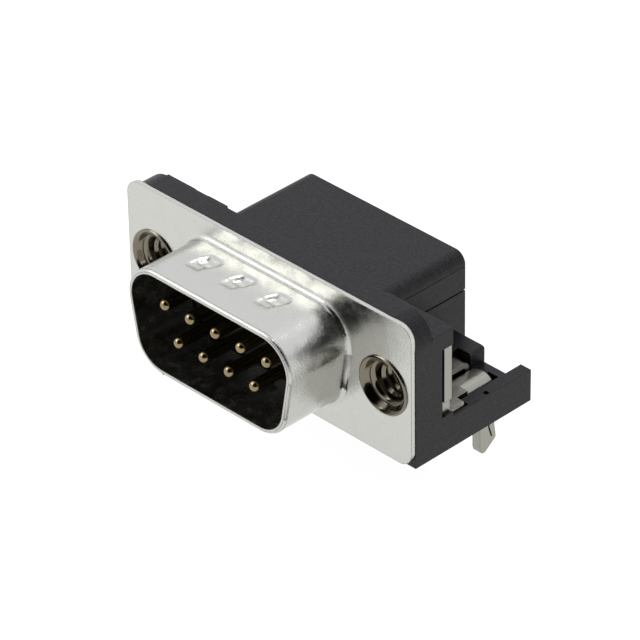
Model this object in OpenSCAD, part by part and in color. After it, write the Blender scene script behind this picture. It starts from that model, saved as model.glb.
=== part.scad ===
// Right-angle board connector: a nine-pin D-sub plug with a drawn metal shell, a moulded
// hood over the bent contacts, riveted threaded inserts and side brackets with board locks.
// Millimetres. X runs along the pin rows, Y rearwards from the flange's front face and
// Z upwards from the circuit board, which the feet and the front plate stand on.

/* [Shell] */
// Distance from an insert's axis to the end of the flange
flange_end = 2.91; // [2.7:0.01:4]
// Height of the flange
flange_h = 12.5; // [11.8:0.1:12.7]
// Corner radius of the flange
flange_r = 1.3; // [0.6:0.1:2.4]
// Thickness of the drawn sheet
shell_t = 0.4; // [0.3:0.05:0.5]
// Inside width of the D-shaped shroud, where the mating shell goes
mouth_w = 16.92; // [16.6:0.02:17]
// Inside height of the shroud
mouth_h = 8.36; // [8.1:0.02:8.4]
// Inside corner radius of the shroud
mouth_r = 2.6; // [2.2:0.1:3]
// How far the shroud stands out of the flange
shroud_depth = 6.12; // [5.6:0.02:7]
// Slope of the shroud's sides, in degrees from upright
shroud_slope = 10; // [8:1:11]
// Radius where the shroud is drawn out of the flange
root_r = 0.4; // [0.3:0.05:0.8]
// Radius round the outer edge of the shroud's mouth
rim_r = 0.2; // [0.1:0.02:0.24]
// Height of the shroud's axis above the board
axis_h = 6.4; // [6.35:0.05:7]

/* [Grounding dimples] */
// Distance between dimples
dimple_pitch = 3.72; // [3.2:0.02:4]
// Sideways shift of the dimples from the middle
dimple_shift = -0.27; // [-0.9:0.01:0.9]
// Radius of the punch that makes a dimple
dimple_r = 1.2; // [0.9:0.05:1.4]
// Depth of a dimple at its steep rear end
dimple_depth = 0.42; // [0.2:0.02:0.5]
// Length of a dimple, from its steep end to where it runs out
dimple_len = 2.7; // [1.8:0.1:3.2]
// Distance from the flange to the steep end of a dimple
dimple_back = 1.77; // [1.3:0.01:2.2]

/* [Contacts] */
// Distance between neighbouring pins of a row
pin_pitch = 2.77; // [2.6:0.01:2.8]
// Distance between the two rows of pins
row_pitch = 2.84; // [2.7:0.01:3]
// Diameter of a pin
pin_d = 1.02; // [0.9:0.01:1.1]
// Radius round the edge of a pin's tip
pin_tip_r = 0.3; // [0.1:0.02:0.4]
// How far the pin tips stand out of the flange
pin_reach = 5.72; // [4.8:0.02:5.9]
// Diameter of a contact behind its pin, down to the tail
wire_d = 0.66; // [0.5:0.01:0.8]
// Diameter of a tail, where it goes through the board
tail_d = 0.6; // [0.4:0.01:0.64]
// Distance from the flange to the first row of tails
tail_first = 8.18; // [7.8:0.02:8.6]
// Distance between the two rows of tails
tail_row_pitch = 2.54; // [2.2:0.02:2.8]
// Length of a tail below the board plane
tail_depth = 3; // [2.4:0.1:4]
// Centre-line radius of a contact's bend
wire_bend_r = 0.9; // [0.6:0.05:1.2]

/* [Housing] */
// How far the front plate stands past the flange at each end
plate_proud = 0.045; // [0.02:0.005:0.2]
// Thickness of the front plate
plate_t = 1.88; // [1.6:0.02:2.4]
// Radius of the front plate's top corners
plate_r = 2.3; // [1:0.1:3]
// Thickness of the blocks behind the plate's ends
block_t = 2.12; // [2:0.02:2.6]
// Height of the blocks above the board
block_h = 10.9; // [10.2:0.1:11.6]
// How far the hood over the contacts stands past the mouth at each side
hood_side = 0.22; // [0.04:0.01:0.5]
// Radius along the hood's long top edges
hood_r = 1; // [0.4:0.1:1.05]
// Wall of the tub under the hood
tub_wall = 1.25; // [1:0.05:1.5]
// Room in the tub behind the rear row of tails
tub_room = 0.5; // [0.3:0.05:1.5]
// Height of the joint between the tub and the contact block, above the shroud's axis
joint_rise = 0.68; // [0.5:0.02:0.8]
// Height of the contact block's slab over the tub, with the groove below it
slab_h = 2.27; // [2:0.01:2.3]
// Height of the top cover on that slab
cover_h = 1.1; // [1.05:0.05:1.8]
// Height of the open groove above the tub
groove_h = 0.14; // [0.1:0.02:0.4]
// Depth of that groove
groove_d = 0.2; // [0.1:0.05:0.5]
// Depth of the contact block behind the front plate
block_depth = 2.9; // [2.4:0.05:3.2]
// Thickness of the tail spacer
spacer_t = 1; // [0.8:0.05:1.5]
// Room between the board and the hood's underside
board_gap = 0.3; // [0.2:0.05:0.6]

/* [Feet] */
// Width of the ledge beside the hood
ledge_w = 3.49; // [3.3:0.01:3.6]
// Height of the ledge above the board
ledge_h = 4.28; // [4:0.02:4.29]
// Radius of the ledge's outer top edge
ledge_r = 0.25; // [0.1:0.05:0.5]
// Height of the feet above the board
foot_h = 2.83; // [2.6:0.01:2.95]
// Wall of the feet and ledges behind the foot plates
foot_wall = 1.15; // [0.8:0.05:1.8]
// Thickness of the arm along a foot's outer side
arm_t = 1.07; // [0.6:0.01:1.2]
// How far the arms reach past the feet
arm_len = 1.7; // [0.8:0.05:2.3]

/* [Inserts] */
// Distance from the side of the mouth to an insert's axis
insert_side = 4.035; // [4:0.005:4.2]
// Diameter of the threaded hole, at half the thread's depth
thread_d = 2.6; // [2.4:0.05:2.8]
// Outside diameter of an insert's barrel
barrel_d = 3.6; // [3.4:0.05:3.7]
// Diameter of an insert's collar in the flange
collar_d = 4.3; // [4.1:0.05:4.5]
// Diameter of the flared rim on the flange
rim_d = 5.1; // [4.8:0.1:5.4]
// How far the rim stands out of the flange
rim_t = 0.3; // [0.2:0.02:0.5]
// Diameter of the mouth of the countersink
sink_d = 4.1; // [3.6:0.1:4.2]
// Depth of the countersink
sink_depth = 1; // [0.5:0.1:1.5]
// Diameter of the edge that is riveted over the bracket
rivet_d = 4.1; // [3.9:0.05:4.15]
// Thickness of that edge
rivet_t = 0.3; // [0.2:0.05:0.5]

/* [Brackets] */
// Thickness of the bracket's sheet
sheet_t = 0.8; // [0.6:0.05:0.82]
// Inside radius of its bends
bend_r = 0.2; // [0.1:0.05:0.3]
// Height of the upright plate's top above the board
upright_h = 9.3; // [8.8:0.05:9.4]
// Height of the foot plate's top above the board
tongue_h = 3; // [2.96:0.01:3.1]
// How far the foot plate reaches behind the middle of its lock
tongue_reach = 0.7; // [0.6:0.05:0.9]
// Distance from the flange to the rear of the wide tab at the bend
tab_rear = 6.2; // [5.6:0.1:6.8]
// Height of the hook's top above the board
hook_h = 3.75; // [3.6:0.05:3.8]
// Thickness of the hook
hook_t = 0.45; // [0.3:0.05:0.6]
// Width of the hook
hook_w = 1.2; // [0.9:0.05:1.3]
// Distance from the flange to the rear of the hook
hook_rear = 9.65; // [8.6:0.05:9.8]
// Length of a board lock below the board plane
lock_depth = 3.6; // [2.6:0.1:4]
// Width of a board lock where it enters the board
lock_w = 1.56; // [1.3:0.02:1.7]
// How far the lock's springy prong bulges rearwards
lock_bulge = 0.22; // [0.1:0.02:0.4]
// Width of the slit between the lock's prongs
lock_slit = 0.14; // [0.1:0.02:0.2]

/* [Hidden] */
$fn = 64;
over = 1;                 // how far a cutting tool runs past the face it cuts
fit_gap = 0.05;           // clearance between pieces that are pushed together
pin_gap = 0.03;           // radial clearance of a contact in its hole
top_count = 5;            // pins in the upper row
bottom_count = 4;         // pins in the lower row

insert_x = mouth_w / 2 + insert_side;
flange_w = 2 * (insert_x + flange_end);
plate_w = flange_w + 2 * plate_proud;
plate_h = axis_h + flange_h / 2 + plate_proud;
plate_rear = shell_t + plate_t;
block_rear = plate_rear + block_t;
side_x = plate_w / 2;                          // outer side of plate, blocks, feet and arms
hood_x = mouth_w / 2 + hood_side;
hood_w = 2 * hood_x;
block_joint_h = axis_h + joint_rise;
cover_joint_h = block_joint_h + slab_h;
hood_h = cover_joint_h + cover_h;
ledge_x = hood_x + ledge_w;

// Shroud outline: outside sizes, and centres of its corner circles, from its axis
shroud_w = mouth_w + 2 * shell_t;
shroud_h = mouth_h + 2 * shell_t;
shroud_r = mouth_r + shell_t;
corner_top = [shroud_w / 2 - shroud_r, shroud_h / 2 - shroud_r];
corner_bottom = [corner_top[0] - 2 * corner_top[1] * tan(shroud_slope), -corner_top[1]];
side_normal = [cos(shroud_slope), -sin(shroud_slope)];
nose_gap = 0.2;                                // between the shell and the contact block
nose_inset = shell_t + nose_gap;
nose_face = -0.25;                             // front face of the contact block
lip = 0.02;                                    // thickness at which a rounding runs out
seam = 0.005;                                  // how far a sloped side stands back from its rounds
seam_lap = 0.08;                               // how far a root's straight run laps its corners

// Contacts: the pin's shoulder rests on a step in its hole
shoulder_y = 1.6;
top_z = axis_h + row_pitch / 2;
bottom_z = axis_h - row_pitch / 2;
block_back = plate_rear + block_depth;
tail_rear = tail_first + tail_row_pitch;
tub_x = hood_x - tub_wall;                     // inside of the tub's side walls
tub_rear = tail_rear + wire_d / 2 + tub_room;
hood_rear = tub_rear + tub_wall;
tub_floor = 1.2;                               // top of the tub's floor above the board
tail_room = 0.4;                               // from the contact block back to the tails' opening
channel_gap = 0.15;                            // beside an upper contact in the slab's channel
tip_len = 0.4;                                 // tapered end of a tail
neck_step = 0.06;                              // a pin is this much thinner in its hole
neck_d = pin_d - 2 * neck_step;
taper = 0.6;                                   // length over which a contact gets thinner
tail_top = board_gap - 0.2;                    // a tail is thin up to here
joint_line = 0.06;                             // height of the fine line under the top cover

// Upright plate of a bracket and the recess that it lies in
upright_rear = block_rear - 0.02;
upright_front = upright_rear - sheet_t;
upright_x = [insert_x - barrel_d / 2 - 1.1, side_x - 0.1];
lock_x = side_x - 1.25;                        // outer face of the board lock
tongue_x = [ledge_x + 0.13, lock_x - 0.1];
tab_x = side_x - 0.3;
hook_x = [ledge_x - 0.02 - hook_w, ledge_x - 0.02];
lock_mid = tail_first + tail_row_pitch / 2;    // the locks stand level with the tails' middle
tongue_rear = lock_mid + tongue_reach;
foot_rear = tongue_rear + foot_wall;
arm_rear = foot_rear + arm_len;
dent = 0.4;                                    // side of the small mould pocket on a foot
lock_y = [lock_mid - lock_w / 2, lock_mid + lock_w / 2];
lock_root_y = lock_y[0] - 1.25;                // front of the wider strip that carries a lock
slot_x = lock_x + 0.15;                        // outer wall of the slot for the lock
slot_rear = max(tongue_rear, lock_y[1] + lock_bulge) + 0.1;

// ---- helpers -------------------------------------------------------------------------

// Extrudes an outline drawn in X and Z from y0 to y1
module along_y(y0, y1) {
    translate([0, y1, 0]) rotate([90, 0, 0]) linear_extrude(height = y1 - y0) children();
}

// Extrudes an outline drawn in Y and Z from x0 to x1
module along_x(x0, x1) {
    translate([x0, 0, 0]) rotate([90, 0, 90]) linear_extrude(height = x1 - x0) children();
}

// A round bar along Y, from y0 to y1
module bar_y(x, z, y0, y1, r) {
    translate([x, y0, z]) rotate([-90, 0, 0]) cylinder(h = y1 - y0, r = r);
}

// A block between two corners
module block(a, b) {
    translate(a) cube(b - a);
}

module both_sides() {
    children();
    mirror([1, 0, 0]) children();
}

// A rectangle on the X axis with its two top corners rounded
module round_top(w, h, r) {
    translate([-w / 2, 0]) square([w, h - r]);
    translate([-w / 2 + r, 0]) square([w - 2 * r, h]);
    intersection() {
        for (s = [-1, 1]) translate([s * (w / 2 - r), h - r]) circle(r);
        translate([-w / 2, 0]) square([w, h]);
    }
}

// The D outline of the shroud, drawn round its axis and moved in by inset
module d_outline(inset) {
    r = shroud_r - inset;
    top = corner_top + [0, r];
    upper = corner_top + (r - seam) * side_normal;
    lower = corner_bottom + (r - seam) * side_normal;
    base = corner_bottom - [0, r];
    half = [top, upper, lower, base];
    polygon(concat(half, [for (i = [3:-1:0]) [-half[i][0], half[i][1]]]));
    for (c = [corner_top, corner_bottom], s = [-1, 1]) translate([s * c[0], c[1]]) circle(r);
}

// Moves an outline drawn round the shroud's axis up to its height
module at_axis() {
    translate([0, axis_h]) children();
}

// ---- shell ---------------------------------------------------------------------------

module flange_outline() {
    w = flange_w - 2 * flange_r;
    h = flange_h - 2 * flange_r;
    square([flange_w, h], center = true);
    square([w, flange_h], center = true);
    for (x = [-w / 2, w / 2], z = [-h / 2, h / 2]) translate([x, z]) circle(flange_r);
}

// Section of the drawn root: local X is the distance from the wall, local Y the distance
// in front of the flange. It runs out in a lip, and starts inside the sheet.
module root_section() {
    difference() {
        translate([-shell_t / 4, -shell_t / 4]) square(root_r + shell_t / 4);
        translate([root_r + lip, root_r + lip]) circle(root_r);
    }
}

// Section that rounds the outer edge of the mouth, with local Y in front of the mouth
module rim_section() {
    difference() {
        translate([-rim_r - lip, -rim_r - lip]) square(rim_r + lip + 0.3);
        translate([-rim_r - lip, -rim_r - lip]) circle(rim_r);
    }
}

// A section along a straight wall, anticlockwise from point a to point b as seen from the
// front, and on by lap at both ends
module wall_run(a, b, lap = 0) {
    d = b - a;
    translate([b[0], 0, axis_h + b[1]]) rotate([0, -atan2(d[1], d[0]), 0]) translate([lap, 0, 0])
        rotate([180, 0, 0]) rotate([0, -90, 0])
            linear_extrude(height = norm(d) + 2 * lap) children();
}

// A section round a corner, swept from angle a0 through sweep degrees
module corner_run(c, a0, sweep) {
    translate([c[0], 0, axis_h + c[1]]) rotate([90, 0, 0]) rotate([0, 0, a0])
        rotate_extrude(angle = sweep) translate([shroud_r, 0]) children();
}

// A section all the way round the outside of the shroud
module shroud_run() {
    upper = corner_top + (shroud_r - seam) * side_normal;
    lower = corner_bottom + (shroud_r - seam) * side_normal;
    top = corner_top[1] + shroud_r;
    wall_run([corner_top[0], top], [-corner_top[0], top]) children();
    wall_run([-corner_bottom[0], -top], [corner_bottom[0], -top]) children();
    both_sides() {
        wall_run(lower, upper, seam_lap) children();
        corner_run(corner_top, -shroud_slope, 90 + shroud_slope) children();
        corner_run(corner_bottom, -90, 90 - shroud_slope) children();
    }
}

// The punch that presses a dimple: a bar that dips below the shroud's top towards its rear
module dimple_punch(x, grow) {
    dip = atan(dimple_depth / dimple_len);
    top = shroud_h / 2;
    translate([x, -dimple_back, axis_h + top - dimple_depth + dimple_r])
        rotate([90 - dip, 0, 0]) translate([0, 0, -grow])
            cylinder(h = dimple_len + 1.5 + grow, r = dimple_r + grow);
}

module dimple_punches(grow) {
    for (i = [-1, 0, 1]) dimple_punch(dimple_shift + i * dimple_pitch, grow);
    for (s = [-0.5, 0.5]) translate([0, 0, 2 * axis_h]) mirror([0, 0, 1])
        dimple_punch(s * dimple_pitch, grow);
}

module front_shell() color("#d9d9d6") {
    difference() {
        union() {
            difference() {
                union() {
                    along_y(0, shell_t) at_axis() flange_outline();
                    along_y(-shroud_depth, shell_t) at_axis() d_outline(0);
                    shroud_run() root_section();
                }
                along_y(-shroud_depth - over, shell_t + over) at_axis() d_outline(shell_t);
            }
            intersection() {
                dimple_punches(shell_t * 0.8);
                along_y(-shroud_depth + 0.2, 0) at_axis() d_outline(shell_t * 0.9);
            }
        }
        dimple_punches(0);
        translate([0, -shroud_depth, 0]) shroud_run() rim_section();
        both_sides() bar_y(insert_x, axis_h, -over, shell_t + over, collar_d / 2 + fit_gap);
    }
}

// ---- contacts ------------------------------------------------------------------------

// Place of contact n: pins 1 to 5 are the upper row, 6 to 9 the lower one
function contact_x(n) = n <= top_count ? (n - (top_count + 1) / 2) * pin_pitch
                                       : (n - top_count - (bottom_count + 1) / 2) * pin_pitch;
function contact_z(n) = n <= top_count ? top_z : bottom_z;
function contact_tail(n) = n <= top_count ? tail_rear : tail_first;

// Half of a pin along its axis, from its rounded tip to the shoulder in the contact block
module pin_profile() {
    r = pin_d / 2;
    face = pin_reach + nose_face;
    back = pin_reach + shoulder_y;
    polygon([[0, 0], [r - pin_tip_r, 0], [r - pin_tip_r, pin_tip_r], [r, pin_tip_r], [r, face],
             [neck_d / 2, face + taper], [neck_d / 2, back], [0, back]]);
    intersection() {
        translate([r - pin_tip_r, pin_tip_r]) circle(pin_tip_r);
        square([r, pin_tip_r]);
    }
}

module contact(n) color("#b08d4a") translate([contact_x(n), 0, 0]) {
    z = contact_z(n);
    tail = contact_tail(n);
    bend_y = tail - wire_bend_r;
    bend_z = z - wire_bend_r;
    tip_z = -tail_depth + tip_len;
    translate([0, -pin_reach, z]) rotate([-90, 0, 0]) rotate_extrude() pin_profile();
    bar_y(0, z, shoulder_y, bend_y, wire_d / 2);
    translate([0, bend_y, bend_z]) rotate([90, 0, 90])
        rotate_extrude(angle = 90) translate([wire_bend_r, 0]) circle(d = wire_d);
    translate([0, tail, tail_top + taper]) cylinder(h = bend_z - tail_top - taper, d = wire_d);
    translate([0, tail, tail_top]) cylinder(h = taper, d1 = tail_d, d2 = wire_d);
    translate([0, tail, tip_z]) cylinder(h = tail_top - tip_z, d = tail_d);
    translate([0, tail, -tail_depth]) cylinder(h = tip_len, d1 = tail_d * 0.5, d2 = tail_d);
}

// ---- mouldings -----------------------------------------------------------------------

// The insulator: a D-shaped nose in the shell, a body in the tub and a slab over it
module contact_block() color("#26272a") difference() {
    union() {
        along_y(nose_face, plate_rear) at_axis() d_outline(nose_inset);
        block([-tub_x + fit_gap, plate_rear, axis_h - shroud_h / 2 + nose_inset],
              [tub_x - fit_gap, block_back, cover_joint_h]);
        block([-hood_x + groove_d, plate_rear, block_joint_h],
              [hood_x - groove_d, hood_rear - groove_d, block_joint_h + groove_h]);
        block([-hood_x, plate_rear, block_joint_h + groove_h],
              [hood_x, hood_rear, cover_joint_h - joint_line]);
        block([-hood_x + groove_d / 2, plate_rear, block_joint_h + groove_h],
              [hood_x - groove_d / 2, hood_rear - groove_d / 2, cover_joint_h]);
    }
    for (n = [1:top_count + bottom_count]) {
        x = contact_x(n);
        z = contact_z(n);
        bar_y(x, z, nose_face - over, shoulder_y, pin_d / 2 + pin_gap);
        bar_y(x, z, shoulder_y - fit_gap, block_back + over, wire_d / 2 + pin_gap);
    }
    // channels in the slab's underside for the upper contacts and their bends
    for (n = [1:top_count])
        block([contact_x(n) - wire_d / 2 - channel_gap, block_back - fit_gap, block_joint_h - over],
              [contact_x(n) + wire_d / 2 + channel_gap, tail_rear + wire_d / 2 + channel_gap,
               top_z + wire_d / 2 + channel_gap]);
}

module top_cover() color("#222326")
    along_y(plate_rear, hood_rear) translate([0, cover_joint_h])
        round_top(hood_w, hood_h - cover_joint_h, hood_r);

module ledge_outline() {
    translate([hood_x - fit_gap, 0]) {
        w = ledge_w + fit_gap;
        square([w - ledge_r, ledge_h]);
        square([w, ledge_h - ledge_r]);
        translate([w - ledge_r, ledge_h - ledge_r]) circle(ledge_r);
    }
}

// What stands beside the hood on the right: block, ledge, foot and arm
module side_solids() {
    block([hood_x - fit_gap, plate_rear - fit_gap, 0], [side_x, block_rear, block_h]);
    along_y(block_rear - fit_gap, foot_rear) ledge_outline();
    block([ledge_x - ledge_r, block_rear - fit_gap, 0], [side_x, foot_rear, foot_h]);
    block([side_x - arm_t, foot_rear - fit_gap, 0], [side_x, arm_rear, foot_h]);
}

// What is cut out of the right side for the bracket, its hook and its lock
module side_cuts() {
    seat_z = tongue_h - sheet_t - fit_gap;
    top = block_h + over;
    // recess for the upright plate, open to the rear and to the side
    block([upright_x[0] - fit_gap, upright_front - fit_gap, hook_h - hook_t - fit_gap],
          [side_x + over, block_rear + fit_gap, upright_h + fit_gap]);
    // lead-in in front of the plate's outer edge
    block([side_x - 0.5, upright_front - 0.35, tongue_h + bend_r],
          [side_x + over, upright_front, upright_h + fit_gap]);
    // seat of the tab and of the foot plate
    block([tongue_x[0] - fit_gap, upright_front - fit_gap, seat_z],
          [tab_x + fit_gap, tab_rear + 0.15, tongue_h + 0.6]);
    block([tongue_x[0] - fit_gap, tab_rear, seat_z], [slot_x, tongue_rear + 0.1, top]);
    // slot that the lock goes down through
    block([lock_x - sheet_t - 0.1, lock_root_y - 0.1, -over], [slot_x, slot_rear, top]);
    // pocket of the hook
    block([hook_x[0] - 0.1, block_rear - fit_gap, 1.1], [tongue_x[0], hook_rear + 0.1, top]);
    // small mould pocket on top of the foot
    block([side_x - 0.15 - dent, lock_y[0] - 0.1 - dent, foot_h - 0.3],
          [side_x - 0.15, lock_y[0] - 0.1, top]);
    bar_y(insert_x, axis_h, 0, block_rear + over, barrel_d / 2 + fit_gap);
}

module housing() color("#1f2023") difference() {
    union() {
        along_y(shell_t, plate_rear) round_top(plate_w, plate_h, plate_r);
        block([-hood_x, plate_rear - fit_gap, 0], [hood_x, hood_rear, block_joint_h]);
        both_sides() side_solids();
    }
    both_sides() side_cuts();
    // opening for the contact block's nose
    along_y(shell_t - over, plate_rear + fit_gap) at_axis() d_outline(nose_inset - fit_gap);
    // the tub, open above, with a floor under the contact block
    block([-tub_x, plate_rear, tub_floor], [tub_x, tub_rear, hood_h + over]);
    block([-tub_x, block_back + tail_room, -over], [tub_x, tub_rear, tub_floor + over]);
    // room for the slab and the cover between the side blocks
    block([-hood_x - fit_gap, plate_rear, block_joint_h],
          [hood_x + fit_gap, hood_rear + over, block_h + over]);
    // the hood's underside stands clear of the board
    block([-hood_x, plate_rear, -over], [hood_x, hood_rear + over, board_gap]);
}

// Comb plate that closes the tub's underside and keeps the tails in line
module tail_spacer() color("#2a2b2e") difference() {
    block([-tub_x + fit_gap, block_back + tail_room + fit_gap, board_gap],
          [tub_x - fit_gap, tub_rear - fit_gap, board_gap + spacer_t]);
    for (n = [1:top_count + bottom_count])
        translate([contact_x(n), contact_tail(n), 0])
            cylinder(h = board_gap + spacer_t + over, d = wire_d + 2 * pin_gap);
}

// ---- hardware ------------------------------------------------------------------------

// A threaded rivet: flared rim on the flange, barrel, and an edge rolled over the bracket
module insert_body() color("#c9c9c4") translate([insert_x, 0, axis_h]) rotate([-90, 0, 0])
    rotate_extrude() difference() {
        union() {
            translate([0, -rim_t / 2]) square([barrel_d / 2, upright_rear + rim_t / 2]);
            translate([0, -rim_t / 2]) square([collar_d / 2, shell_t + rim_t / 2]);
            translate([0, -rim_t]) square([rim_d / 2 - rim_t / 2, rim_t]);
            translate([rim_d / 2 - rim_t / 2, -rim_t / 2]) circle(rim_t / 2);
            translate([0, upright_rear]) square([rivet_d / 2, rivet_t]);
        }
        translate([-over, -rim_t - over])
            square([thread_d / 2 + over, upright_rear + rivet_t + rim_t + 2 * over]);
        polygon([[0, -rim_t], [sink_d / 2, -rim_t],
                 [thread_d / 2, sink_depth - rim_t], [0, sink_depth - rim_t]]);
    }

// An L-shaped strip seen from the side, in Y and Z: t thick, upright on the plate's rear
// face up to z1, then bent rearwards with its top face at height top, as far as y1
module bent_strip(t, top, y1, z1) {
    r = bend_r;
    rear = upright_rear;
    translate([rear - t, top + r]) square([t, z1 - top - r]);
    translate([rear + r, top - t]) square([y1 - rear - r, t]);
    translate([rear + r, top + r]) intersection() {
        difference() {
            circle(r + t);
            circle(r);
        }
        translate([-r - t, -r - t]) square(r + t);
    }
}

// A strip that turns down at its far end, in Y and Z, outer bend against (y1, top)
module down_turn(t, top, y1, z0) {
    r = bend_r + t;
    translate([y1 - r, top - r]) intersection() {
        difference() {
            circle(r);
            circle(bend_r);
        }
        square(r);
    }
    translate([y1 - t, z0]) square([t, top - r - z0]);
}

// The foot plate from above: a wide tab at the bend, then a narrower tongue
module tongue_plan() {
    x0 = tongue_x[0];
    tab_r = 0.45;
    inner_r = 0.6;
    translate([x0, 0]) square([tab_x - x0, tab_rear - tab_r]);
    translate([x0, 0]) square([tab_x - tab_r - x0, tab_rear]);
    translate([tab_x - tab_r, tab_rear - tab_r]) circle(tab_r);
    translate([x0, 0]) square([tongue_x[1] - x0, tongue_rear - inner_r]);
    translate([x0 + inner_r, 0]) square([tongue_x[1] - x0 - inner_r, tongue_rear]);
    translate([x0 + inner_r, tongue_rear - inner_r]) circle(inner_r);
}

// The lock from the side, in Y and Z: a wide root, a straight prong in front and a
// springy prong that bulges to the rear. The slit between them leans rearwards.
module lock_side() {
    front = lock_y[0];
    rear = lock_y[1];
    tip = -lock_depth;
    slit = [[0.86, 0.9], [0.96, tip * 0.42], [1.26, tip * 0.68]];
    difference() {
        polygon([[lock_root_y, tongue_h + over], [lock_root_y, 1.6], [front, 1],
                 [front + 0.05, tip + 0.5], [front + 0.15, tip + 0.15], [front + 0.35, tip],
                 [front + 0.6, tip], [front + 0.9, tip + 0.2], [rear + lock_bulge * 0.9, tip * 0.76],
                 [rear + lock_bulge, tip * 0.7], [rear, tip * 0.25],
                 [tongue_rear - 0.02, tongue_h + over]]);
        polygon(concat([for (p = slit) [front + p[0], p[1]]],
                       [for (i = [2:-1:0]) [front + slit[i][0] + lock_slit, slit[i][1]]]));
    }
}

// The strip that turns down at the tongue's outer edge, in X and Z
module lock_section() {
    r = bend_r + sheet_t;
    x0 = (tongue_x[0] + lock_x - r) / 2;
    translate([lock_x - r, tongue_h - r]) intersection() {
        difference() {
            circle(r);
            circle(bend_r);
        }
        square(r);
    }
    translate([x0, tongue_h - sheet_t]) square([lock_x - r - x0, sheet_t]);
    translate([lock_x - sheet_t, -lock_depth]) square([sheet_t, lock_depth + tongue_h - r]);
}

module bracket_body() color("#c4c5c6") difference() {
    union() {
        block([upright_x[0], upright_front, hook_h + bend_r + hook_t],
              [upright_x[1], upright_rear, upright_h]);
        intersection() {
            along_x(tongue_x[0], tab_x) bent_strip(sheet_t, tongue_h, tongue_rear, hook_h + 1);
            linear_extrude(height = upright_h) difference() {
                tongue_plan();
                translate([lock_x - sheet_t - bend_r, lock_root_y])
                    square([sheet_t + over, tongue_rear - lock_root_y + over]);
            }
        }
        intersection() {
            along_y(lock_root_y, tongue_rear + lock_bulge + 1) lock_section();
            along_x(tongue_x[0], side_x) lock_side();
        }
        along_x(hook_x[0], hook_x[1]) {
            bent_strip(hook_t, hook_h, hook_rear - bend_r - hook_t, hook_h + 1.2);
            down_turn(hook_t, hook_h, hook_rear, 1.4);
        }
    }
    bar_y(insert_x, axis_h, 0, block_rear + over, barrel_d / 2 + pin_gap);
}

module insert_right() insert_body();
module insert_left() mirror([1, 0, 0]) insert_body();
module bracket_right() bracket_body();
module bracket_left() mirror([1, 0, 0]) bracket_body();

front_shell();
contact_block();
top_cover();
housing();
tail_spacer();
insert_left();
insert_right();
bracket_left();
bracket_right();
contact(1);  // contact_1
contact(2);  // contact_2
contact(3);  // contact_3
contact(4);  // contact_4
contact(5);  // contact_5
contact(6);  // contact_6
contact(7);  // contact_7
contact(8);  // contact_8
contact(9);  // contact_9
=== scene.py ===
# %% [markdown]
# # A right-angle D-sub plug, dressed for a product picture
# The connector is a drawn metal shell on a black moulded housing, with nine gilt pins, two
# threaded rivets and two bent brackets. Its shapes come from the CAD frame. This lesson gives
# each surface the finish it has on the real part, adds the small forms that are too fine for
# the CAD solids, and sets up a plain studio.

# %% Load the frame
import math
import bpy
import bmesh
from mathutils import Matrix, Vector


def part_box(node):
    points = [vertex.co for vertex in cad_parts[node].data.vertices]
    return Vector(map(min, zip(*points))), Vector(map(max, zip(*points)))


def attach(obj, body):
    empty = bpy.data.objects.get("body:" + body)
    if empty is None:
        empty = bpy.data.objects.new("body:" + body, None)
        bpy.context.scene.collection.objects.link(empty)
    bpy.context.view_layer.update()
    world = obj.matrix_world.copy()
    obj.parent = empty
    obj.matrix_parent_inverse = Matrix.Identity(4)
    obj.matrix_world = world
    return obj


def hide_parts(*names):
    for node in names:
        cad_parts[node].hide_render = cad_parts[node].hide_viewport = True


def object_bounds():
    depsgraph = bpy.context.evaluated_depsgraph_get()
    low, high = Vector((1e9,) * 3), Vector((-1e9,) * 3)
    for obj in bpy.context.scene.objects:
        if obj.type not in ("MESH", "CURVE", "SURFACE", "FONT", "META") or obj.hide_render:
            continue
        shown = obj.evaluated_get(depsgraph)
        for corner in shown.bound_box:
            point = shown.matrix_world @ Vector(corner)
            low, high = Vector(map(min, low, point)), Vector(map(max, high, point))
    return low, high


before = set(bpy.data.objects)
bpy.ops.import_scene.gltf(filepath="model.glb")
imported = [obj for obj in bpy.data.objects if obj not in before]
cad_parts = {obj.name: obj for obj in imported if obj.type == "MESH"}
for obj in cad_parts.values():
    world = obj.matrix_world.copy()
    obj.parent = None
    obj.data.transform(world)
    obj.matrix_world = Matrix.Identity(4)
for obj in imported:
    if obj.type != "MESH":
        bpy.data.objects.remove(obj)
cad_box = [list(corner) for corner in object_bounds()]
MM = 0.001
print("nodes:", len(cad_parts))
print("box in mm:", [[round(v / MM, 2) for v in corner] for corner in cad_box])

# %% [markdown]
# ## The camera
# A product picture of a small part is taken from far off with a long lens, so that parallel
# edges stay nearly parallel. The camera could be placed by hand in the viewport. Here its place
# and its three axes are written out, because the viewing angle was measured, and a matrix says
# it without any doubt about the order of the turns.

# %% Camera
camera_place = Vector((0.19980, -0.18818, 0.18984))
camera_right = Vector((0.7033, 0.7108, -0.0147)).normalized()
camera_back = Vector((0.5967, -0.5789, 0.5558)).normalized()
camera_up = camera_back.cross(camera_right)
bpy.ops.object.select_all(action="DESELECT")
bpy.ops.object.camera_add(location=camera_place)
camera = bpy.context.object
camera.name = "product_camera"
turn = Matrix((camera_right, camera_up, camera_back)).transposed()
camera.rotation_euler = turn.to_euler()
camera.data.sensor_width = 36.0  # mm, and so is the lens
camera.data.lens = 243.7
camera.data.clip_start = 0.01
camera.data.clip_end = 10.0
bpy.context.scene.camera = camera
print("camera is", round(camera_place.length / MM), "mm from the board plane's origin")

# %% [markdown]
# ## Floor and light
# The studio is a white sheet under the part, a pale room, and soft lamps. Bare metal has no
# colour of its own to speak of: it shows what stands round it. A plain white room would make it
# flat and lifeless, so the room is darker where the black camera stands, and
# that darkness gives the rounded metal its contrast.

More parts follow.
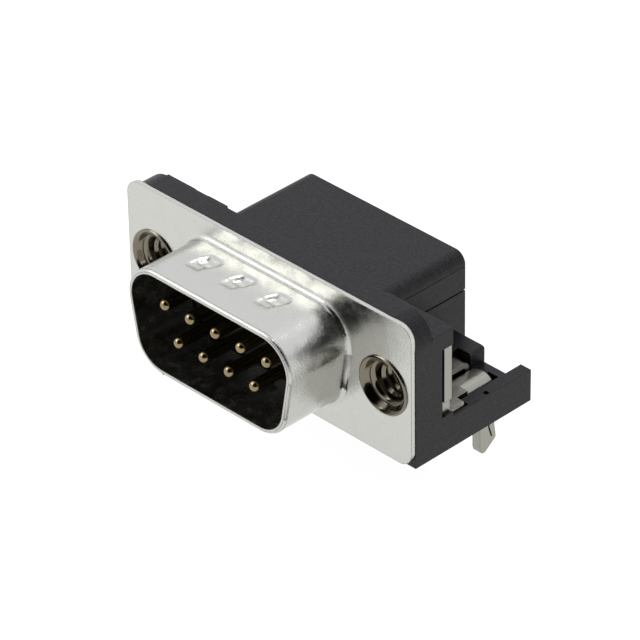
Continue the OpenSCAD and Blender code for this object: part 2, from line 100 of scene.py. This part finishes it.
# %% Floor
floor_height = cad_box[0][2]
bpy.ops.object.select_all(action="DESELECT")
bpy.ops.mesh.primitive_plane_add(size=4.0, location=(0, 0, floor_height))
floor = bpy.context.object
floor.name = "studio_floor"
print("floor at z =", round(floor_height / MM, 2), "mm")

# %% [markdown]
# ## Colours and nodes
# A paint chart gives colours as sRGB hex values, but a shader works with linear light, so one
# function turns the one into the other. Materials are wired by hand in the shader editor; in
# code, one small function adds a node, sets it and links it, and another starts a material.

# %% Colours and nodes
def srgb(code):
    """A hex colour as the linear RGBA that Blender's sockets take."""
    parts = [int(code[i:i + 2], 16) / 255 for i in (1, 3, 5)]
    linear = [p / 12.92 if p <= 0.04045 else ((p + 0.055) / 1.055) ** 2.4 for p in parts]
    return (*linear, 1.0)


def add_node(material, kind, settings=None, **links):
    """Adds a node, sets its own properties and its sockets, and links sockets to others."""
    node = material.node_tree.nodes.new(kind)
    for name, value in (settings or {}).items():
        if hasattr(node, name) and name not in node.inputs:
            setattr(node, name, value)
        else:
            node.inputs[name].default_value = value
    for name, source in links.items():
        slot = node.inputs[int(name[3:])] if name.startswith("in_") else node.inputs[name]
        material.node_tree.links.new(source, slot)
    return node


def new_finish(name, colour, metallic, roughness):
    """A material with its shader, and the object coordinates in metres."""
    material = bpy.data.materials.new(name)
    material.use_nodes = True
    shader = material.node_tree.nodes["Principled BSDF"]
    shader.inputs["Base Color"].default_value = srgb(colour)
    shader.inputs["Metallic"].default_value = metallic
    shader.inputs["Roughness"].default_value = roughness
    place = add_node(material, "ShaderNodeTexCoord").outputs["Object"]
    return material, shader, place


def link(material, source, socket):
    material.node_tree.links.new(source, socket)


print("white as linear:", srgb("#ffffff")[:3])

# %% [markdown]
# ## The floor's finish
# The part stands on opal acrylic, a milky plastic sheet lit from below. Such a light table
# takes nearly all the shadow away. It could be a plain white emission; a shader with some
# gloss and a faint cloudiness in its glow also gives the metal something real to mirror.

# %% Floor finish
GLOW_LOW, GLOW_HIGH = 0.955, 0.98
opal, opal_shader, opal_place = new_finish("opal_acrylic_light_table", "#606060", 0.0, 0.6)
cloud = add_node(opal, "ShaderNodeTexNoise", {"Scale": 0.04 / MM, "Detail": 2.0},
                 Vector=opal_place)
glow = add_node(opal, "ShaderNodeMapRange", {"To Min": GLOW_LOW, "To Max": GLOW_HIGH},
                Value=cloud.outputs["Fac"])
opal_shader.inputs["Emission Color"].default_value = srgb("#ffffff")
link(opal, glow.outputs["Result"], opal_shader.inputs["Emission Strength"])
floor.data.materials.append(opal)
print("floor glows", GLOW_LOW, "to", GLOW_HIGH)

# %% [markdown]
# ## The room
# The room could be built from white walls. Nothing of it is seen but its reflection, so the
# world's colour does the same work: white all round, fading to black in a cone about the
# camera. The ramp reads how far a direction points to the camera's side, from -1 to 1.

# %% Room
ROOM_STRENGTH = 1.15
DARK_STARTS, DARK_ENDS = 0.50, 0.74  # cosines: 60 and 42 degrees off the camera
world = bpy.data.worlds.new("pale_room")
bpy.context.scene.world = world
world.use_nodes = True
room = world.node_tree
room_light = room.nodes["Background"]
room_light.inputs["Strength"].default_value = ROOM_STRENGTH
direction = room.nodes.new("ShaderNodeTexCoord").outputs["Generated"]
facing = room.nodes.new("ShaderNodeVectorMath")
facing.operation = "DOT_PRODUCT"
facing.inputs[1].default_value = camera_back
room.links.new(direction, facing.inputs[0])
shade = room.nodes.new("ShaderNodeValToRGB")
white_end, dark_end = shade.color_ramp.elements
white_end.position, white_end.color = DARK_STARTS, srgb("#fbfbff")
dark_end.position, dark_end.color = DARK_ENDS, srgb("#0a0a0a")
room.links.new(facing.outputs["Value"], shade.inputs["Fac"])
room.links.new(shade.outputs["Color"], room_light.inputs["Color"])
print("the room darkens", round(math.degrees(math.acos(DARK_STARTS))), "degrees off the camera")

# %% [markdown]
# ## The lamps
# Two square softboxes add the highlights. One stands high behind the part. The other stands
# low in front, to the left: its light reaches the top of the shroud by way of the flange,
# which is what makes the sheet bright along its root.

# %% Lamps
def soft_lamp(name, place, aim, size, watts, colour):
    """A square softbox at a place, turned to face a point."""
    bpy.ops.object.select_all(action="DESELECT")
    bpy.ops.object.light_add(type="AREA", location=place)
    lamp = bpy.context.object
    lamp.name = name
    lamp.data.shape = "SQUARE"
    lamp.data.size = size
    lamp.data.energy = watts
    lamp.data.color = srgb(colour)[:3]
    lamp.rotation_euler = (Vector(aim) - Vector(place)).to_track_quat("-Z", "Y").to_euler()
    return lamp


part_middle = Vector((0.0, 0.004, 0.006))
soft_lamp("top_softbox", (0.02, 0.10, 0.40), part_middle, 0.08, 0.25, "#ffffff")
soft_lamp("front_left_softbox", (-0.21, -0.20, 0.20), part_middle, 0.16, 0.30, "#ffffff")

# %% [markdown]
# ## Copies of CAD nodes
# A node of the frame is never changed. Where the real surface is softer than the solid, the
# node's mesh is copied, its loose triangles are merged into one skin, and the copy is reworked
# in edit mode and stands in for the node.

# %% Copying a node
def copy_of(node_name, piece_name):
    """A piece with its own merged copy of a CAD node's mesh, selected and active."""
    bpy.ops.object.select_all(action="DESELECT")
    piece = bpy.data.objects.new(piece_name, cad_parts[node_name].data.copy())
    bpy.context.scene.collection.objects.link(piece)
    piece.select_set(True)
    bpy.context.view_layer.objects.active = piece
    bpy.ops.object.mode_set(mode="EDIT")
    bpy.ops.mesh.select_all(action="SELECT")
    bpy.ops.mesh.remove_doubles(threshold=1e-4 * MM)
    bpy.ops.mesh.select_all(action="DESELECT")
    bpy.ops.object.mode_set(mode="OBJECT")
    print(piece_name, "has", len(piece.data.polygons), "faces")
    return piece


def pick_faces(piece, wanted):
    """In edit mode, selects the faces for which wanted(centre, normal) holds."""
    mesh = bmesh.from_edit_mesh(piece.data)
    bpy.ops.mesh.select_mode(type="FACE")
    bpy.ops.mesh.select_all(action="DESELECT")
    for face in mesh.faces:
        face.select_set(wanted(face.calc_center_median(), face.normal))
    mesh.select_flush_mode()
    bmesh.update_edit_mesh(piece.data)
    return sum(face.select for face in mesh.faces)


def pick_points(piece, wanted):
    """In edit mode, selects the points for which wanted(place) holds."""
    mesh = bmesh.from_edit_mesh(piece.data)
    bpy.ops.mesh.select_mode(type="VERT")
    bpy.ops.mesh.select_all(action="DESELECT")
    for point in mesh.verts:
        point.select_set(wanted(point.co))
    mesh.select_flush_mode()
    bmesh.update_edit_mesh(piece.data)
    return sum(point.select for point in mesh.verts)


# %% [markdown]
# ## Dimples that are pressed, not cut
# The dimples press against the mating shell and ground it. A press pushes the sheet down with
# a soft edge, which the solid leaves sharp. So the solid's dents are taken out of the copy, the
# gap is filled and cut into a fine grid, and proportional editing pushes it down again. What
# lies behind the steep end is then flattened, as the press holds the sheet down there.

# %% Where the dimples go
HAIR = 1e-6  # a thousandth of a millimetre
SHEET = 0.4 * MM
shell = copy_of("front_shell", "drawn_shell")
shroud_top = max(v.co.z for v in shell.data.vertices if v.co.y < -3 * MM)
dent_middles = [(-0.27 + i * 3.72) * MM for i in (-1, 0, 1)]
dent_end, dent_half, dent_reach = -1.77 * MM, 1.3 * MM, 2.9 * MM
dent_margin = 0.6 * MM
dent_rows = 0.09 * MM


def dent_box(middle_x):
    """The low and high corner, in x and y, of the patch for one dimple."""
    return ((middle_x - dent_half, dent_end - dent_reach),
            (middle_x + dent_half, dent_end + dent_margin))


def within(place, low, high, slack=0.0):
    return all(low[i] - slack < place[i] < high[i] + slack for i in (0, 1))


print("shroud top at z =", round(shroud_top / MM, 2), "mm, dimples at x =",
      [round(x / MM, 2) for x in dent_middles])

# %% Take out the sharp dents and lay a fine grid
def on_top(centre, normal):
    return (centre.z > shroud_top - SHEET * 1.06 and normal.z > 0.02
            and centre.y < -0.5 * MM)


bpy.ops.object.mode_set(mode="EDIT")
bpy.ops.mesh.select_all(action="SELECT")
bpy.ops.mesh.dissolve_limited(angle_limit=math.radians(0.3))
for middle_x in dent_middles:
    low, high = dent_box(middle_x)
    for plane, way in (((low[0], 0, 0), (1, 0, 0)), ((high[0], 0, 0), (1, 0, 0)),
                       ((0, low[1], 0), (0, 1, 0)), ((0, high[1], 0), (0, 1, 0))):
        pick_faces(shell, on_top)
        bpy.ops.mesh.bisect(plane_co=plane, plane_no=way)
    pick_faces(shell, lambda c, n: on_top(c, n) and within(c, low, high))
    bpy.ops.mesh.delete(type="FACE")
    pick_points(shell, lambda p: abs(p.z - shroud_top) < HAIR and within(p, low, high, HAIR))
    bpy.ops.mesh.edge_face_add()
    for axis in (0, 1):
        steps = round((high[axis] - low[axis]) / dent_rows)
        for i in range(1, steps):
            place = [0, 0, 0]
            place[axis] = low[axis] + (high[axis] - low[axis]) * i / steps
            grid_faces = pick_faces(shell, lambda c, n: n.z > 0.9 and within(c, low, high)
                                    and abs(c.z - shroud_top) < HAIR)
            bpy.ops.mesh.bisect(plane_co=place, plane_no=(1 - axis, axis, 0))
    print("grid of about", grid_faces, "faces at x =", round(middle_x / MM, 2))

# %% Press the dimples
# Each dimple is pressed in six strips from its steep end to the front. A strip's left end
# moves outwards, which gives the fan shape, and every strip is pressed less than the last.
STRIP = 0.3
presses = [(STRIP * i, STRIP * i + STRIP, -0.36 - 0.13 * i, 0.7 - 0.1 * i,
            0.23 * (1 - i / 7.5)) for i in range(6)]
SOFT_EDGE = 0.42 * MM
for middle_x in dent_middles:
    low, high = dent_box(middle_x)
    for start, end, left, right, depth in presses:
        strip_low = (middle_x + left * MM, dent_end - end * MM)
        strip_high = (middle_x + right * MM, dent_end - start * MM)
        pick_points(shell, lambda p: p.z > shroud_top - SHEET
                    and within(p, strip_low, strip_high))
        bpy.ops.transform.translate(value=(0, 0, -depth * MM), use_proportional_edit=True,
                                    proportional_edit_falloff="SMOOTH",
                                    proportional_size=SOFT_EDGE,
                                    use_proportional_connected=True)
    pick_points(shell, lambda p: within(p, low, high, HAIR) and p.z > shroud_top - SHEET
                and p.y > dent_end + 0.2 * MM)
    bpy.ops.transform.resize(value=(1, 1, 0), center_override=(0, 0, shroud_top))
bpy.ops.object.mode_set(mode="OBJECT")
deepest = min(v.co.z for v in shell.data.vertices if abs(v.co.x - dent_middles[1]) < 0.5 * MM
              and -3 * MM < v.co.y < -1.9 * MM and v.co.z > shroud_top - SHEET)
print("dimples are", round((shroud_top - deepest) / MM, 2), "mm deep")

# %% [markdown]
# ## Smooth shading on a drawn shell
# Drawn sheet has flat walls that run into tight roundings. Plain smooth shading lets the
# roundings bend the light on the flats. Weighted normals let the large faces lead, so the flats
# stay flat. It could also be done with extra edge loops, at the price of many more faces.

# %% Even normals on the shell
bpy.ops.object.shade_smooth_by_angle(angle=math.radians(32))
even = shell.modifiers.new("even_normals", "WEIGHTED_NORMAL")
even.keep_sharp = True
even.weight = 100
bpy.ops.object.modifier_apply(modifier="even_normals")
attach(shell, "root")
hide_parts("front_shell")
print("shell has", len(shell.data.polygons), "faces")

# %% [markdown]
# ## Threaded inserts
# The insert is turned brass: a rim rolled over the flange, a funnel that leads the screw in,
# and a 4-40 thread. A lathe part is a ring of edges that is extruded along its axis and
# resized, step by step, until it meets its start. A spin of a drawn profile would do as well.

# %% Lathe the insert
insert_low, insert_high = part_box("insert_right")
insert_x = (insert_low[0] + insert_high[0]) / 2
insert_z = (insert_low[2] + insert_high[2]) / 2
insert_back = insert_high[1] / MM
# Steps of depth and radius in mm: rolled rim, funnel, bore, back, and the outside again.
insert_steps = [(-0.09, 2.5), (-0.15, 2.44), (-0.18, 2.33), (-0.08, 2.18), (0.1, 2.05),
                (0.36, 1.93), (0.44, 1.84), (0.49, 1.7), (0.58, 1.58), (0.75, 1.46),
                (0.95, 1.43), (insert_back - 0.08, 1.43), (insert_back, 1.5),
                (insert_back, 1.98), (insert_back - 0.06, 2.05), (insert_back - 0.3, 2.05),
                (insert_back - 0.32, 1.8), (0.4, 1.8), (0.4, 2.15), (0.01, 2.15), (0.0, 2.5)]


def lathe(name, centre_x, centre_z, first, steps):
    """A closed turned part on an axis along Y, from rings of 64 edges."""
    bpy.ops.object.select_all(action="DESELECT")
    bpy.ops.mesh.primitive_circle_add(vertices=64, radius=first[1] * MM,
                                      location=(centre_x, first[0] * MM, centre_z),
                                      rotation=(math.pi / 2, 0, 0))
    piece = bpy.context.object
    piece.name = name
    bpy.ops.object.transform_apply(location=True, rotation=True, scale=True)
    bpy.ops.object.mode_set(mode="EDIT")
    bpy.ops.mesh.select_all(action="SELECT")
    depth, radius = first
    for new_depth, new_radius in steps:
        bpy.ops.mesh.extrude_region_move(
            TRANSFORM_OT_translate={"value": (0, (new_depth - depth) * MM, 0)})
        scale = new_radius / radius
        bpy.ops.transform.resize(value=(scale, 1, scale),
                                 center_override=(centre_x, new_depth * MM, centre_z))
        depth, radius = new_depth, new_radius
    bpy.ops.mesh.select_all(action="SELECT")
    bpy.ops.mesh.remove_doubles(threshold=2 * HAIR)
    bpy.ops.mesh.normals_make_consistent(inside=False)
    bpy.ops.object.mode_set(mode="OBJECT")
    bpy.ops.object.shade_smooth_by_angle(angle=math.radians(40))
    return piece


insert = lathe("threaded_insert_right", insert_x, insert_z, (0.0, 2.5), insert_steps)
print("insert body has", len(insert.data.polygons), "faces")

# %% [markdown]
# ## The thread
# A tap cuts the thread with a tooth of the groove's shape. Here one ridge section, a square
# drawn narrow at its tip, is wound round the axis by the Screw modifier. Real threads could be
# left to a bump pattern, but the first turns are seen through the funnel, so they are geometry.

# %% Wind the thread
THREAD_PITCH = 25.4 / 40 * MM
RIDGE_HEIGHT, RIDGE_FOOT, RIDGE_TIP_SHARE = 0.27 * MM, 0.6 * MM, 0.22
RIDGE_MIDDLE = 1.325 * MM
THREAD_START, THREAD_TURNS = 0.9 * MM, 5
bpy.ops.object.select_all(action="DESELECT")
bpy.ops.mesh.primitive_plane_add(size=1.0, location=(0, 0, 0))
thread = bpy.context.object
thread.name = "thread_ridge"
bpy.ops.object.mode_set(mode="EDIT")
bpy.ops.mesh.select_all(action="SELECT")
bpy.ops.transform.resize(value=(RIDGE_HEIGHT, RIDGE_FOOT, 1))
bpy.ops.transform.translate(value=(RIDGE_MIDDLE, 0, 0))
pick_points(thread, lambda p: p.x < RIDGE_MIDDLE)
bpy.ops.transform.resize(value=(1, RIDGE_TIP_SHARE, 1))
bpy.ops.mesh.select_all(action="SELECT")
bpy.ops.mesh.delete(type="ONLY_FACE")
bpy.ops.object.mode_set(mode="OBJECT")
wind = thread.modifiers.new("wind", "SCREW")
wind.axis = "Y"
wind.screw_offset = THREAD_PITCH
wind.iterations = THREAD_TURNS
wind.steps = wind.render_steps = 48
bpy.ops.object.modifier_apply(modifier="wind")
thread_low = min(v.co.y for v in thread.data.vertices)
print("thread is", round((max(v.co.y for v in thread.data.vertices) - thread_low) / MM, 2),
      "mm long")

# %% Close the thread and join it to the insert
bpy.ops.object.mode_set(mode="EDIT")
bpy.ops.mesh.select_all(action="SELECT")
bpy.ops.mesh.fill_holes(sides=4)
bpy.ops.mesh.normals_make_consistent(inside=False)
bpy.ops.transform.translate(value=(insert_x, THREAD_START - thread_low, insert_z))
bpy.ops.object.mode_set(mode="OBJECT")
bpy.ops.object.shade_smooth_by_angle(angle=math.radians(40))
insert.select_set(True)
bpy.context.view_layer.objects.active = insert
bpy.ops.object.join()
print("threaded insert has", len(insert.data.polygons), "faces")

# %% [markdown]
# ## The second insert
# Both inserts are the same turned part, so the first is duplicated with a mesh of its own and
# that mesh is moved across. A mirrored copy would give a left-handed thread, which would be
# wrong.

# %% Second insert
bpy.ops.object.select_all(action="DESELECT")
insert.select_set(True)
bpy.ops.object.duplicate(linked=False)
other_insert = bpy.context.object
other_insert.name = "threaded_insert_left"
bpy.ops.object.mode_set(mode="EDIT")
bpy.ops.mesh.select_all(action="SELECT")
bpy.ops.transform.translate(value=(-2 * insert_x, 0, 0))
bpy.ops.object.mode_set(mode="OBJECT")
for piece, node_name in ((insert, "insert_right"), (other_insert, "insert_left")):
    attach(piece, "root")
    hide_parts(node_name)
print("inserts at x =", [round(x / MM, 3) for x in (insert_x, -insert_x)])

# %% [markdown]
# ## Domed pins
# A pin ends in a dome, so that it finds its socket. The copy of a contact is cut across where
# the dome starts, and the open ring is extruded and drawn in by steps of a quarter circle.
# Two contacts are made, one for each row, and the others are copies at the pin pitch.

# %% Dome one contact of each row
PIN_RADIUS = 0.51 * MM
PIN_PITCH = 2.77 * MM
CAD_TIP_ROUNDING = 0.3 * MM
DOME_RINGS = 8
SMALLEST_RING = 0.02  # the last ring's share of the radius, before it closes to a point


def domed_contact(number):
    """A copy of a contact whose pin ends in a half ball."""
    piece = copy_of(f"contact_{number}", f"domed_contact_{number}")
    tip = min(v.co.y for v in piece.data.vertices)
    ring = [v.co for v in piece.data.vertices
            if abs(v.co.y - (tip + CAD_TIP_ROUNDING)) < 2 * HAIR]
    middle = Vector((sum(c.x for c in ring) / len(ring), tip + PIN_RADIUS,
                     sum(c.z for c in ring) / len(ring)))
    bpy.ops.object.mode_set(mode="EDIT")
    bpy.ops.mesh.select_all(action="SELECT")
    bpy.ops.mesh.bisect(plane_co=middle, plane_no=(0, 1, 0), clear_inner=True)
    pick_points(piece, lambda p: abs(p.y - middle.y) < HAIR)
    for i in range(DOME_RINGS):
        a, b = (math.pi / 2 * k / DOME_RINGS for k in (i, i + 1))
        bpy.ops.mesh.extrude_region_move(TRANSFORM_OT_translate={
            "value": (0, -PIN_RADIUS * (math.sin(b) - math.sin(a)), 0)})
        scale = max(math.cos(b), SMALLEST_RING) / math.cos(a)
        bpy.ops.transform.resize(value=(scale, 1, scale), center_override=(
            middle.x, middle.y - PIN_RADIUS * math.sin(b), middle.z))
    bpy.ops.mesh.merge(type="CENTER")
    bpy.ops.mesh.select_all(action="SELECT")
    bpy.ops.mesh.normals_make_consistent(inside=False)
    bpy.ops.object.mode_set(mode="OBJECT")
    bpy.ops.object.shade_smooth_by_angle(angle=math.radians(40))
    return piece


contacts = {1: domed_contact(1), 6: domed_contact(6)}
print("made the first contact of each row:", sorted(contacts))

# %% Copy the contacts along their rows
for number in (2, 3, 4, 5, 7, 8, 9):
    first = 1 if number < 6 else 6
    bpy.ops.object.select_all(action="DESELECT")
    contacts[first].select_set(True)
    bpy.context.view_layer.objects.active = contacts[first]
    bpy.ops.object.duplicate(linked=False)
    contacts[number] = bpy.context.object
    contacts[number].name = f"domed_contact_{number}"
    bpy.ops.object.mode_set(mode="EDIT")
    bpy.ops.mesh.select_all(action="SELECT")
    bpy.ops.transform.translate(value=((number - first) * PIN_PITCH, 0, 0))
    bpy.ops.object.mode_set(mode="OBJECT")
for number, piece in contacts.items():
    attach(piece, "root")
    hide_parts(f"contact_{number}")
pin_places = [sum(v.co.x for v in contacts[n].data.vertices)
              / len(contacts[n].data.vertices) for n in sorted(contacts)]
print("pins at x =", [round(x / MM, 2) for x in pin_places])

# %% [markdown]
# ## Edges in another colour
# Bare cut corners of plated strip are darker, and all corners are a little round. The rounding
# could be modelled with bevels; the Bevel node bends the light the same way and leaves the mesh
# light. Where the bent normal and the true one differ, the surface is near an edge, and it
# takes
# another colour: the bare cut edge on the bracket strip, a darker line along the shell's edges,
# and on the black plastic a lighter colour that is a painted highlight.

# %% Edge colours
def edge_wear_and_highlight(material, shader, radius, edge_colour, bump):
    """Rounds the light along sharp edges and mixes the edge colour in there: darker on the
    metal, lighter on the plastic, where it is a painted highlight.
    """
    rounded = add_node(material, "ShaderNodeBevel", {"samples": 4, "Radius": radius})
    flat = add_node(material, "ShaderNodeNewGeometry")
    likeness = add_node(material, "ShaderNodeVectorMath", {"operation": "DOT_PRODUCT"},
                        in_0=rounded.outputs["Normal"], in_1=flat.outputs["Normal"])
    near_edge = add_node(material, "ShaderNodeMapRange", {"From Min": 0.99, "From Max": 0.86},
                    Value=likeness.outputs["Value"])
    # The edge colour is mixed in near edges: darker on the metals, and on the plastic lighter,
    # a painted highlight.
    mix = add_node(material, "ShaderNodeMix", {"data_type": "RGBA"},
                   in_0=near_edge.outputs["Result"])
    mix.inputs[6].default_value = shader.inputs["Base Color"].default_value
    mix.inputs[7].default_value = srgb(edge_colour)
    link(material, mix.outputs[2], shader.inputs["Base Color"])
    link(material, rounded.outputs["Normal"], bump.inputs["Normal"])
    link(material, bump.outputs["Normal"], shader.inputs["Normal"])
    return mix


# %% [markdown]
# ## Tin-plated steel
# The shell is drawn from thin sheet steel and plated with tin. The plate is satin: it mirrors
# the room softly, has a fine frosted grain, and is never quite flat after drawing. Frost,
# cloudiness and waves are three noises, each at its own size, and they only turn the light.

# %% Tinned steel
# Frosted tin: grains of 1/6.5 mm catch the light one by one, over a soft mirror. The real
# grain is finer, and is drawn as coarse as it has to be to show. The cloudiness is about 1 mm
# and the waves that drawing leaves are about 2.4 mm.
tin, tin_shader, tin_place = new_finish("tin_plated_steel_satin", "#c1c1bc", 1.0, 0.28)
grain = add_node(tin, "ShaderNodeTexNoise",
                 {"Scale": 6.5 / MM, "Detail": 3.0, "Roughness": 0.6}, Vector=tin_place)
cloud = add_node(tin, "ShaderNodeTexNoise", {"Scale": 0.9 / MM, "Detail": 2.0},
                 Vector=tin_place)
rough = add_node(tin, "ShaderNodeMapRange", {"From Min": 0.3, "From Max": 0.7,
                 "To Min": 0.16, "To Max": 0.32}, Value=cloud.outputs["Fac"])
link(tin, rough.outputs["Result"], tin_shader.inputs["Roughness"])
drawing_waves = add_node(tin, "ShaderNodeTexNoise", {"Scale": 0.42 / MM, "Detail": 1.0},
                         Vector=tin_place)
waves = add_node(tin, "ShaderNodeBump", {"Strength": 0.6, "Distance": 0.14 * MM},
                 Height=drawing_waves.outputs["Fac"])
frost = add_node(tin, "ShaderNodeBump", {"Strength": 0.9, "Distance": 0.02 * MM},
                 Height=grain.outputs["Fac"])
# Along the shell's sharp edges the tin takes a darker colour, in a thin line.
edge_wear_and_highlight(tin, tin_shader, 0.12 * MM, "#77776f", waves)
link(tin, waves.outputs["Normal"], frost.inputs["Normal"])
link(tin, frost.outputs["Normal"], tin_shader.inputs["Normal"])
print(tin.name, "has", len(tin.node_tree.nodes), "nodes")

# %% [markdown]
# ## Black plastic
# The housing, the insulator and the cover are moulded in glass-filled polyester. It is nearly
# black, but its broad soft shine lifts it to a dark grey, so the gloss matters more than the
# colour. One fine noise gives both the mould texture and the fibres near the skin.

# %% Black plastic
# The skin has grains of 0.2 mm; the real texture is finer, and is drawn coarser to show.
plastic, plastic_shader, plastic_place = new_finish("glass_filled_polyester_black",
                                                    "#121214", 0.0, 0.42)
plastic_shader.inputs["Specular IOR Level"].default_value = 0.24
skin = add_node(plastic, "ShaderNodeTexNoise", {"Scale": 5.0 / MM, "Detail": 3.0},
                Vector=plastic_place)
texture = add_node(plastic, "ShaderNodeBump", {"Strength": 0.2, "Distance": 0.01 * MM},
                   Height=skin.outputs["Fac"])
# On the black plastic the edge colour is lighter than the skin: a painted highlight along the
# edges.
skin_and_edge_highlight = edge_wear_and_highlight(plastic, plastic_shader, 0.08 * MM, "#1e1e20", texture)
fibres = add_node(plastic, "ShaderNodeValToRGB", Fac=skin.outputs["Fac"])
resin, fibre = fibres.color_ramp.elements
resin.position, resin.color = 0.36, srgb("#030304")
fibre.position, fibre.color = 0.64, srgb("#1d1d20")
link(plastic, fibres.outputs["Color"], skin_and_edge_highlight.inputs[6])
print(plastic.name, "has", len(plastic.node_tree.nodes), "nodes")

# %% [markdown]
# ## Nickel plate
# The inserts are turned from brass and plated with bright nickel. Nickel mirrors sharply and is
# warmer and darker than tin, which sets the rims off from the flange. A faint bump stands for
# the tool marks, at 0.4 mm, coarser than they are.

# %% Nickel plate
nickel, nickel_shader, nickel_place = new_finish("nickel_plated_brass_bright", "#7a7466",
                                                 1.0, 0.16)
turned = add_node(nickel, "ShaderNodeTexNoise", {"Scale": 2.5 / MM, "Detail": 3.0},
                  Vector=nickel_place)
wave = add_node(nickel, "ShaderNodeBump", {"Strength": 0.15, "Distance": 0.01 * MM},
                Height=turned.outputs["Fac"])
link(nickel, wave.outputs["Normal"], nickel_shader.inputs["Normal"])
print(nickel.name, "has", len(nickel.node_tree.nodes), "nodes")

# %% [markdown]
# ## Gilt contacts
# The contacts carry a flash of gold, so thin that the nickel under it shows through and the
# yellow turns pale and brownish. The wire was drawn through a die before it was plated, so its
# gloss varies a little from place to place, over about a third of a millimetre.

# %% Gilt contacts
gilt, gilt_shader, gilt_place = new_finish("gold_flash_on_nickel", "#8f8160", 1.0, 0.2)
drawn = add_node(gilt, "ShaderNodeTexNoise", {"Scale": 3.0 / MM, "Detail": 2.0},
                 Vector=gilt_place)
sheen = add_node(gilt, "ShaderNodeMapRange", {"To Min": 0.1, "To Max": 0.24},
                 Value=drawn.outputs["Fac"])
link(gilt, sheen.outputs["Result"], gilt_shader.inputs["Roughness"])
print(gilt.name, "has", len(gilt.node_tree.nodes), "nodes")

# %% [markdown]
# ## Bracket strip
# The brackets are stamped and bent from bronze strip that was tinned first, so their cut edges
# are bare and dark. The strip is greyer than the shell, with a mild unevenness from rolling.

# %% Bracket strip
strip, strip_shader, strip_place = new_finish("tinned_bronze_strip_satin", "#99988f",
                                              1.0, 0.3)
rolled = add_node(strip, "ShaderNodeTexNoise", {"Scale": 2.2 / MM, "Detail": 3.0},
                  Vector=strip_place)
lines = add_node(strip, "ShaderNodeBump", {"Strength": 0.6, "Distance": 0.04 * MM},
                 Height=rolled.outputs["Fac"])
edge_wear_and_highlight(strip, strip_shader, 0.08 * MM, "#5c5c56", lines)
print(strip.name, "has", len(strip.node_tree.nodes), "nodes")

# %% [markdown]
# ## Dressing the part
# Every node gets a finish, also those that a new piece stands for, so that the solids look
# right by themselves. The plastic is the rule, and the metal pieces are named.

# %% Put the finishes on
finish_of = {"front_shell": tin, "insert_left": nickel, "insert_right": nickel,
             "bracket_left": strip, "bracket_right": strip}
finish_of.update({f"contact_{number}": gilt for number in contacts})
for name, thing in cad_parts.items():
    thing.data.materials.clear()
    thing.data.materials.append(finish_of.get(name, plastic))
new_pieces = [(shell, tin), (insert, nickel), (other_insert, nickel)]
new_pieces += [(piece, gilt) for piece in contacts.values()]
for piece, finish in new_pieces:
    piece.data.materials.clear()
    piece.data.materials.append(finish)
print("dressed", len(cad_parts), "nodes and", len(new_pieces), "new pieces")

# %% [markdown]
# ## Picture settings
# The Standard view shows a white floor as white and leaves the metal's contrast alone, where
# a filmic view would grey both.

# %% Picture settings
bpy.context.scene.view_settings.view_transform = "Standard"
print("view:", bpy.context.scene.view_settings.view_transform)
